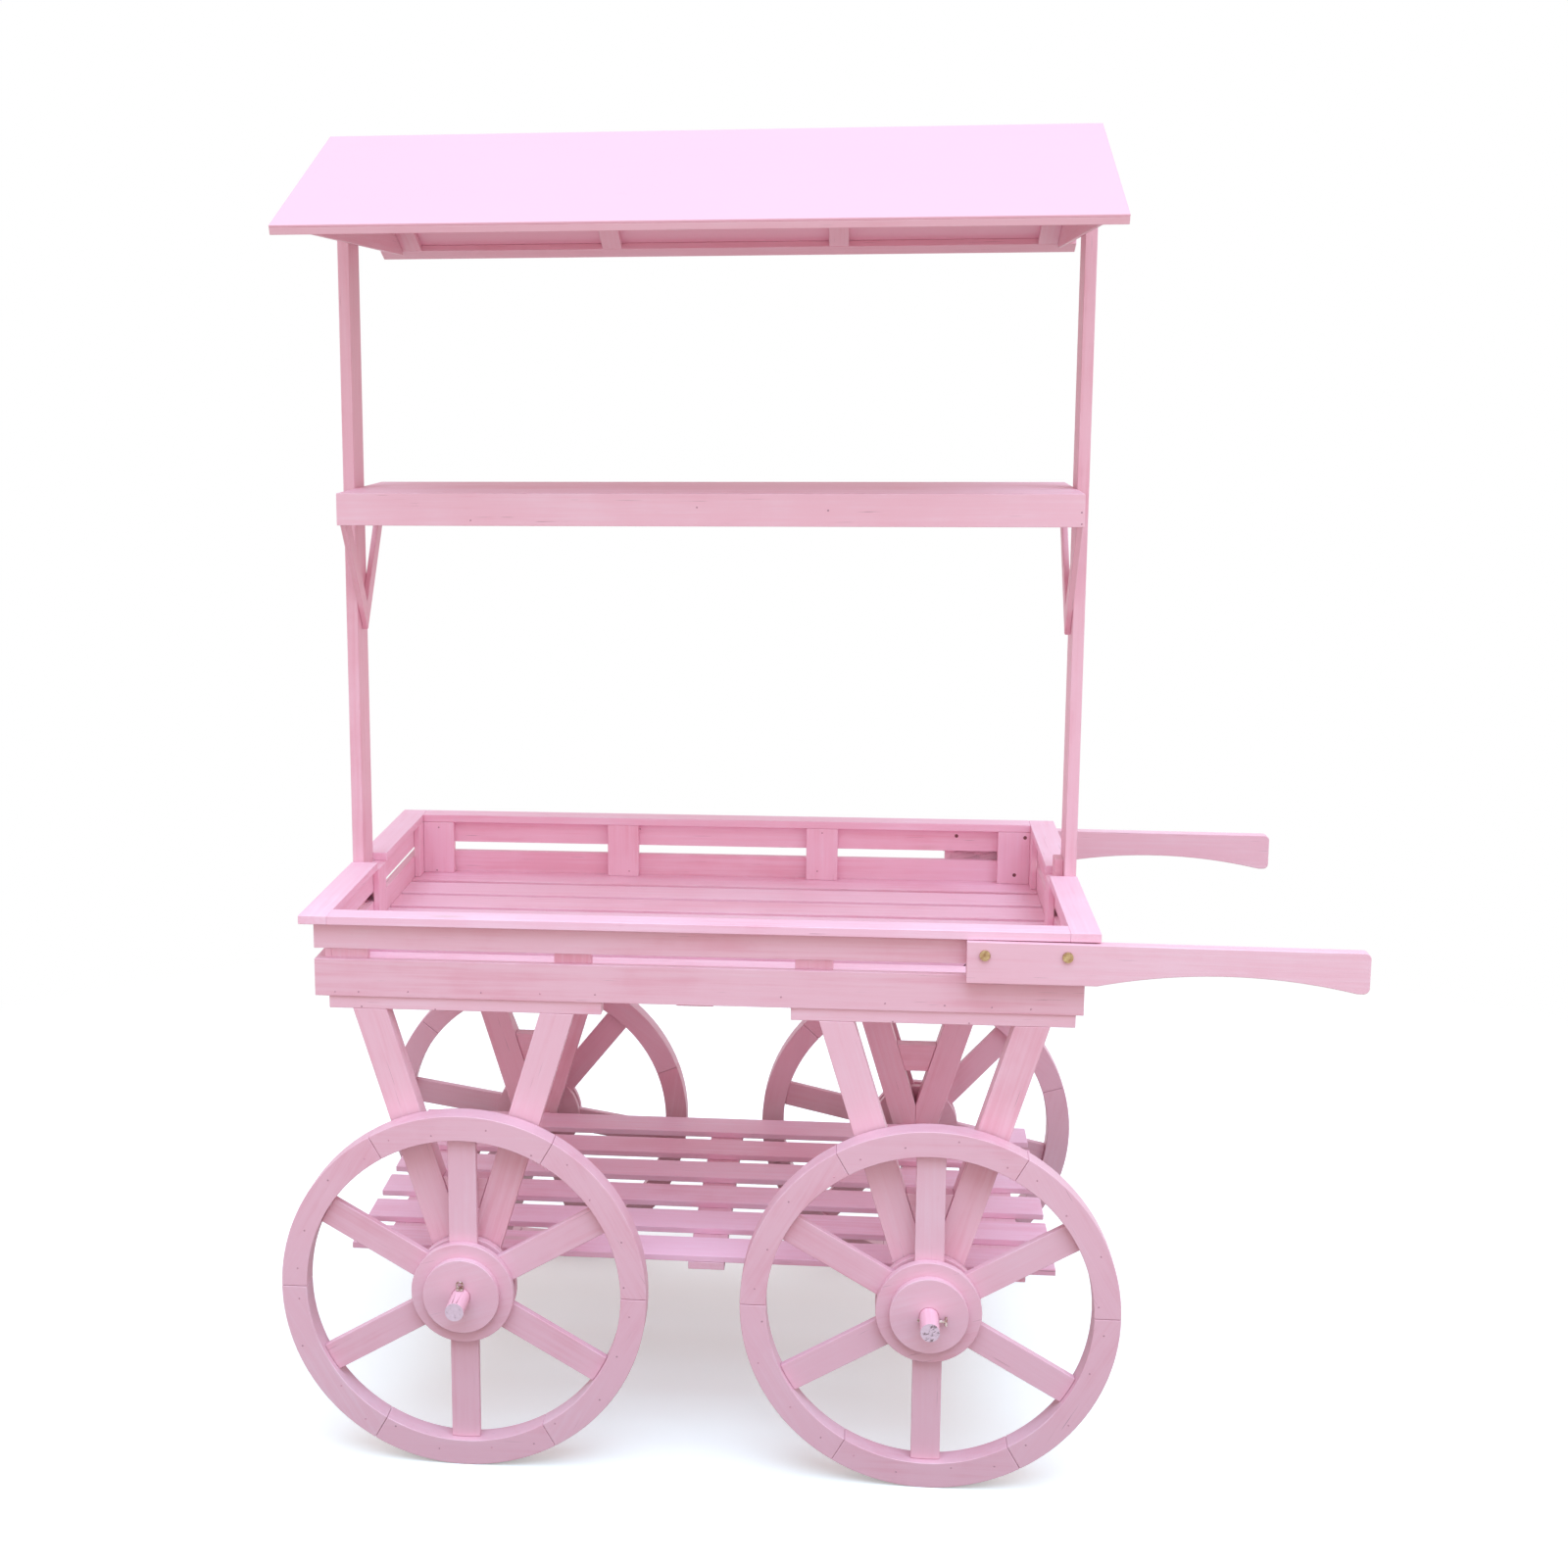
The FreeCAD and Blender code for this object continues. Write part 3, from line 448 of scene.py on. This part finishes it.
def plug_holes(mesh):
    """Close the screw holes of a board whose broad faces look forwards; the heads hide them."""
    walls = grouped([face for face in mesh.faces if abs(face.normal.y) < 0.5])
    outline = set(max(walls, key=lambda group: sum(face.calc_area() for face in group)))
    others = [face for face in mesh.faces if face not in outline]
    bmesh.ops.delete(mesh, geom=others, context="FACES")
    rims = [edge for edge in mesh.edges if edge.is_boundary]
    bmesh.ops.holes_fill(mesh, edges=rims, sides=0)
    bmesh.ops.recalc_face_normals(mesh, faces=mesh.faces)


def sort_faces(faces):
    """The faces broad enough, as a group, for a rubbed border, and the rest."""
    broad = []
    narrow = set()
    for group in grouped(faces):
        members = set(group)
        border = sum(edge.calc_length() for face in group for edge in face.edges
                     if any(other not in members for other in edge.link_faces))
        area = sum(face.calc_area() for face in group)
        if 2 * area > BROAD_BANDS * WEAR_BAND * border:
            broad.extend(group)
        else:
            narrow.update(group)
    return broad, narrow


def facing(vertex, eased):
    """The normal at a vertex: that of its flat faces where it has any, so that only edges turn."""
    faces = [face for face in vertex.link_faces if face not in eased] or list(vertex.link_faces)
    normal = sum((face.normal * face.calc_area() for face in faces), Vector())
    return normal.normalized() if normal.length > 0 else Vector((0, 0, 1))


def dress(node, finish, edge_radius=TIMBER_EDGE, grain=None):
    """Replace a CAD node with its own shape, its edges eased by hand and its boards told apart.
    An edge radius of nothing leaves the shape of small metal parts as it is."""
    mesh = bmesh.new()
    mesh.from_mesh(NODES[node].data)
    bmesh.ops.remove_doubles(mesh, verts=mesh.verts, dist=SAME_PLACE)
    part_touching(mesh)
    if node in HANDLES:
        plug_holes(mesh)
    if edge_radius:
        bmesh.ops.dissolve_limit(mesh, angle_limit=FLAT_ANGLE, verts=mesh.verts, edges=mesh.edges)
    owner = mesh.verts.layers.int.new("owner")
    edge_layer = mesh.loops.layers.float.new("edge")
    grain_layer = mesh.verts.layers.float_vector.new("grain")
    board_layer = mesh.verts.layers.float.new("board")
    end_layer = mesh.faces.layers.float.new("end_grain")
    boards = islands(mesh)
    axes = []
    for index, board in enumerate(boards):
        axes.append(board_axes(board, grain))
        for vertex in board:
            vertex[owner] = index
    sharp = [edge for edge in mesh.edges
             if edge.is_manifold and edge.calc_face_angle(0) > SHARP_ANGLE]
    eased = set()
    if edge_radius:
        bevel = bmesh.ops.bevel(mesh, geom=sharp, offset=edge_radius, offset_type="OFFSET",
                                segments=EDGE_SEGMENTS, profile=0.5, affect="EDGES",
                                clamp_overlap=True, loop_slide=True)
        eased = set(bevel["faces"])
    for edge in mesh.edges:
        edge.smooth = bool(edge_radius) or edge not in sharp
    broad, narrow = sort_faces([face for face in mesh.faces if face not in eased])
    if broad and edge_radius:
        bmesh.ops.inset_region(mesh, faces=broad, thickness=WEAR_BAND,
                               use_even_offset=True, use_boundary=True)
    if node in HANDLES:
        outlines = [face for face in mesh.faces if len(face.verts) > 4]
        bmesh.ops.triangulate(mesh, faces=outlines, ngon_method="BEAUTY")
    rubbed = {vertex for face in eased for vertex in face.verts}
    for face in mesh.faces:
        for loop in face.loops:
            loop[edge_layer] = NARROW_RUB if face in narrow else float(loop.vert in rubbed)

    seeds = random.Random(node)
    shades = [seeds.random() for _ in boards]
    for vertex in mesh.verts:
        middle, along, across, through = axes[vertex[owner]]
        arm = vertex.co - middle
        vertex[grain_layer] = Vector((arm.dot(along), arm.dot(across), arm.dot(through)))
        vertex[board_layer] = shades[vertex[owner]]
    for face in mesh.faces:
        along = axes[face.verts[0][owner]][1]
        face[end_layer] = float(abs(face.normal.dot(along)) > END_GRAIN_COSINE)
        face.smooth = True
    normals = [facing(vertex, eased) for vertex in mesh.verts]
    data = bpy.data.meshes.new(node + "_timber")
    mesh.to_mesh(data)
    mesh.free()
    if edge_radius:
        data.normals_split_custom_set_from_vertices(normals)
    piece = bpy.data.objects.new(node + "_timber", data)
    bpy.context.scene.collection.objects.link(piece)
    data.materials.append(FINISH[finish])
    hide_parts(node)
    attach(piece, NODES[node]["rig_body"])


# Nodes that differ from plain timber: finish, edge radius and direction of the grain.
SPECIAL = {
    "roof_sheet_front": ("roof", SHEET_EDGE, (1, 0, 0)),
    "roof_sheet_rear": ("roof", SHEET_EDGE, (1, 0, 0)),
    "axle_left": ("dowel_left", DOWEL_EDGE, (0, 1, 0)),
    "axle_right": ("dowel_right", DOWEL_EDGE, (0, 1, 0)),
    "axle_pins_left": ("steel", 0, (0, 0, 1)),
    "axle_pins_right": ("steel", 0, (1, 0, 0)),
    "handle_screws": ("zinc", SCREW_EDGE, (0, 1, 0)),
    "shelf_slats": ("slats", TIMBER_EDGE, None),
}


def finish_of(node):
    """The finish of a timber node, by the group it belongs to."""
    if node.startswith(("rim", "spokes", "hub", "cap")):
        return "wheel"
    if node.startswith(("tray", "mid_shelf_boards")):
        return "tray" if node.startswith("tray_wall_front") else "inside"
    return "trim" if node.startswith("trim") else "frame"


def dress_everything():
    """Dress every node of the CAD model in its own finish."""
    for node in sorted(NODES):
        finish, edge, grain = SPECIAL.get(node, (finish_of(node), TIMBER_EDGE, None))
        if node.startswith(("hub", "cap")):
            grain = (1, 0, 0.3)
        dress(node, finish, edge, grain)


# ---------------------------------------------------------------- nail heads

# On faces that look forwards: the x, y and z of each head, in metres.
FRONT_NAILS = {
    "tray_wall_front": [
        (-0.6324, -0.350, 0.6576), (-0.6002, -0.350, 0.6585), (-0.5332, -0.350, 0.6603),
        (-0.4334, -0.350, 0.6617), (-0.3542, -0.350, 0.6625), (-0.2806, -0.350, 0.6632),
        (-0.0342, -0.350, 0.6666), (0.1014, -0.350, 0.6617), (0.1787, -0.350, 0.6612),
        (0.2393, -0.350, 0.6602), (0.2895, -0.350, 0.6590)],
    "top_rails_front": [
        (-0.5973, -0.347, 0.6372), (-0.4969, -0.347, 0.6359), (0.1120, -0.347, 0.6364),
        (0.2110, -0.347, 0.6370)],
    "tray_cleats": [
        (-0.6179, 0.323, 0.6724), (-0.3019, 0.323, 0.6773), (0.0016, 0.323, 0.6835),
        (-0.2840, 0.323, 0.7475), (0.0086, 0.323, 0.7463), (-0.6140, 0.323, 0.7440)],
    "mid_shelf_fascias": [
        (-0.1607, -0.151, 1.2941), (0.0166, -0.151, 1.2904), (0.3529, -0.151, 1.2884),
        (0.3534, -0.151, 1.2728), (-0.4720, -0.151, 1.2760)],
}
# Larger rusted heads inside the rear right corner, and the dark spot on the wall beside them.
RUSTED = {
    "tray_cleats": [(0.3283, 0.323, 0.7444), (0.3131, 0.323, 0.6836)],
    "tray_wall_rear": [(0.2216, 0.338, 0.7424)],
}
# On a rim: the angle in degrees from each felloe joint and the share of the radius.
FELLOES = 6
FELLOE_NAILS = ((-6.5, 0.93), (5.0, 0.90), (21.0, 0.94), (39.5, 0.91))


def add_head(mesh, place, forwards, radius):
    """A low round head on a face that looks forwards or backwards, let a little into the timber."""
    turns = [2 * math.pi * step / NAIL_SIDES for step in range(NAIL_SIDES)]
    rings = []
    for share, height in ((1.0, -NAIL_SUNK), (1.0, 0.0), (NAIL_TOP, NAIL_PROUD)):
        rings.append([mesh.verts.new((place[0] + share * radius * math.cos(turn),
                                      place[1] - forwards * height,
                                      place[2] + share * radius * math.sin(turn)))
                      for turn in turns])
    for low, high in zip(rings, rings[1:]):
        for step in range(NAIL_SIDES):
            after = (step + 1) % NAIL_SIDES
            mesh.faces.new((low[step], low[after], high[after], high[step]))
    mesh.faces.new(rings[0])
    mesh.faces.new(rings[-1])


def add_nails(name, node, places, forwards, radius, finish):
    """All the heads of one kind on one node, as one piece."""
    mesh = bmesh.new()
    for place in places:
        add_head(mesh, place, forwards, radius)
    bmesh.ops.recalc_face_normals(mesh, faces=mesh.faces)
    data = bpy.data.meshes.new(name)
    mesh.to_mesh(data)
    mesh.free()
    heads = bpy.data.objects.new(name, data)
    bpy.context.scene.collection.objects.link(heads)
    data.materials.append(FINISH[finish])
    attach(heads, NODES[node]["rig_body"])


def rim_nails(node):
    """Heads on the outer face of a rim: two beside each felloe joint and two beside each spoke."""
    low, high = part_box(node)
    forwards = 1 if "front" in node else -1
    face = low.y if forwards > 0 else high.y
    middle = (low + high) / 2
    radius = (high.x - low.x) / 2
    seeds = random.Random(node)
    places = []
    for joint in range(FELLOES):
        for turn, reach in FELLOE_NAILS:
            angle = math.radians(60 * joint + turn + seeds.uniform(-1.2, 1.2))
            reach = radius * (reach + seeds.uniform(-0.02, 0.02))
            places.append((middle.x + reach * math.cos(angle), face,
                           middle.z + reach * math.sin(angle)))
    add_nails("nails_" + node, node, places, forwards, NAIL_RADIUS, "nail")


def nail_everything():
    """All the nail heads; the rear wall repeats the front wall's row, mirrored about itself."""
    for node in sorted(NODES):
        if node.startswith("rim"):
            rim_nails(node)
    for node, places in FRONT_NAILS.items():
        add_nails("nails_" + node, node, places, 1, NAIL_RADIUS, "nail")
    for node, places in RUSTED.items():
        add_nails("rusted_" + node, node, places, 1, RUST_RADIUS, "rust")
    low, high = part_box("tray_wall_rear")
    back = [(low.x + high.x - x, -y, z) for x, y, z in FRONT_NAILS["tray_wall_front"]]
    add_nails("nails_tray_wall_rear", "tray_wall_rear", back, -1, NAIL_RADIUS, "nail")


# ---------------------------------------------------------------- studio

# Place in metres, turns in radians, focal length and optical centre in pixels.
CAMERA_PLACE = (0.05174, -3.20318, 1.48863)
CAMERA_YAW = 0.115894
CAMERA_PITCH = -0.181433
CAMERA_ROLL = -0.005685
IMAGE_SIZE = 1600
FOCAL_PIXELS = 2286.252
CENTRE_PIXELS = (605.867, 789.305)
SENSOR = 36.0


def set_camera():
    """The camera of the photograph, from its place, its turn and its focal length in pixels."""
    forward = Vector((-math.sin(CAMERA_YAW) * math.cos(CAMERA_PITCH),
                      math.cos(CAMERA_YAW) * math.cos(CAMERA_PITCH), math.sin(CAMERA_PITCH)))
    level = forward.cross(Vector((0, 0, 1))).normalized()
    upright = level.cross(forward)
    right = level * math.cos(CAMERA_ROLL) + upright * math.sin(CAMERA_ROLL)
    up = upright * math.cos(CAMERA_ROLL) - level * math.sin(CAMERA_ROLL)
    turn = Matrix((right, up, -forward)).transposed().to_4x4()
    lens = bpy.data.cameras.new("photo_camera")
    lens.sensor_width = SENSOR
    lens.lens = FOCAL_PIXELS / IMAGE_SIZE * SENSOR
    lens.shift_x = (IMAGE_SIZE / 2 - CENTRE_PIXELS[0]) / IMAGE_SIZE
    lens.shift_y = (CENTRE_PIXELS[1] - IMAGE_SIZE / 2) / IMAGE_SIZE
    camera = bpy.data.objects.new("photo_camera", lens)
    camera.matrix_world = Matrix.Translation(CAMERA_PLACE) @ turn
    bpy.context.scene.collection.objects.link(camera)
    bpy.context.scene.camera = camera


def white_floor(name):
    """A pale matt floor that keeps the cart's shadow and fades to plain white away from it."""
    graph = Graph(name)
    camera_ray = graph.add("ShaderNodeLightPath", {}, {}, "Is Camera Ray")
    glossy_ray = graph.add("ShaderNodeLightPath", {}, {}, "Is Glossy Ray")
    seen = (camera_ray + glossy_ray).clamped()
    place = graph.add("ShaderNodeTexCoord", {}, {}, "Object")
    distance = graph.add("ShaderNodeVectorMath", {"operation": "LENGTH"}, {0: place}, "Value")
    away = graph.remap(distance, 1.1, 2.6)
    pale = graph.add("ShaderNodeBsdfDiffuse", {}, {"Color": (0.80, 0.80, 0.80)})
    bounce = graph.mix(graph.remap(distance, 0.7, 2.4), (0.12, 0.08, 0.06), (0.56, 0.44, 0.38))
    ground = graph.add("ShaderNodeBsdfDiffuse", {}, {"Color": bounce})
    lift = graph.add("ShaderNodeEmission", {}, {"Color": (1.0, 1.0, 1.0), "Strength": 0.32})
    white = graph.add("ShaderNodeEmission", {}, {"Color": (1.0, 1.0, 1.0), "Strength": 1.0})
    lifted = graph.add("ShaderNodeAddShader", {}, {0: pale, 1: lift})
    faded = graph.add("ShaderNodeMixShader", {}, {0: away, 1: lifted, 2: white})
    shown = graph.add("ShaderNodeMixShader", {}, {0: seen, 1: ground, 2: faded})
    graph.add("ShaderNodeOutputMaterial", {}, {"Surface": shown})
    return graph.material


def make_floor():
    """The studio floor, which belongs to the picture and not to the cart."""
    bpy.ops.mesh.primitive_plane_add(size=60, location=(0, 0, 0))
    floor = bpy.context.object
    floor.name = "studio_floor"
    floor.data.materials.append(white_floor("studio_floor_white"))


def set_world():
    """Even light from all round, and plain white where the camera looks past the floor."""
    world = bpy.data.worlds.new("studio_world")
    world.use_nodes = True
    tree = world.node_tree
    tree.nodes.clear()
    path = tree.nodes.new("ShaderNodeLightPath")
    ambient = tree.nodes.new("ShaderNodeBackground")
    ambient.inputs["Color"].default_value = (0.99, 0.97, 0.97, 1.0)
    ambient.inputs["Strength"].default_value = 0.86
    white = tree.nodes.new("ShaderNodeBackground")
    white.inputs["Color"].default_value = (1.0, 1.0, 1.0, 1.0)
    white.inputs["Strength"].default_value = 1.0
    mix = tree.nodes.new("ShaderNodeMixShader")
    out = tree.nodes.new("ShaderNodeOutputWorld")
    tree.links.new(path.outputs["Is Camera Ray"], mix.inputs[0])
    tree.links.new(ambient.outputs[0], mix.inputs[1])
    tree.links.new(white.outputs[0], mix.inputs[2])
    tree.links.new(mix.outputs[0], out.inputs["Surface"])
    bpy.context.scene.world = world


def add_lamp(name, place, target, size, power, colour, spread=180):
    """A rectangular lamp at a place, turned to a target; the spread is in degrees."""
    lamp = bpy.data.lights.new(name, "AREA")
    lamp.shape = "RECTANGLE"
    lamp.spread = math.radians(spread)
    lamp.size, lamp.size_y = size
    lamp.energy = power
    lamp.color = colour
    holder = bpy.data.objects.new(name, lamp)
    holder.location = place
    holder.rotation_euler = (Vector(target) - Vector(place)).to_track_quat("-Z", "Y").to_euler()
    bpy.context.scene.collection.objects.link(holder)


def light_studio():
    """A wide cool skylight from above and three softboxes, the last kept to the middle shelf."""
    sky = bpy.data.lights.new("skylight", "SUN")
    sky.energy = 2.5
    sky.color = (0.60, 0.89, 1.10)
    sky.angle = math.radians(60)
    holder = bpy.data.objects.new("skylight", sky)
    holder.rotation_euler = (math.radians(21), 0, math.radians(14))
    bpy.context.scene.collection.objects.link(holder)
    add_lamp("front_softbox", (-1.8, -6.0, 1.9), (0, 0, 0.9), (4.0, 2.4), 14, (1.0, 0.94, 0.90))
    add_lamp("right_softbox", (5.2, -3.6, 2.6), (0, 0, 0.9), (2.4, 2.4), 30, (0.90, 0.96, 1.0))
    add_lamp("shelf_softbox", (1.3, -3.1, 1.25), (0, 0.1, 1.42), (1.0, 0.7), 0.5,
             (1.0, 0.93, 0.91), spread=60)


bpy.context.scene.view_settings.view_transform = "Standard"
dress_everything()
nail_everything()
make_floor()
set_world()
light_studio()
set_camera()

bpy.context.view_layer.update()
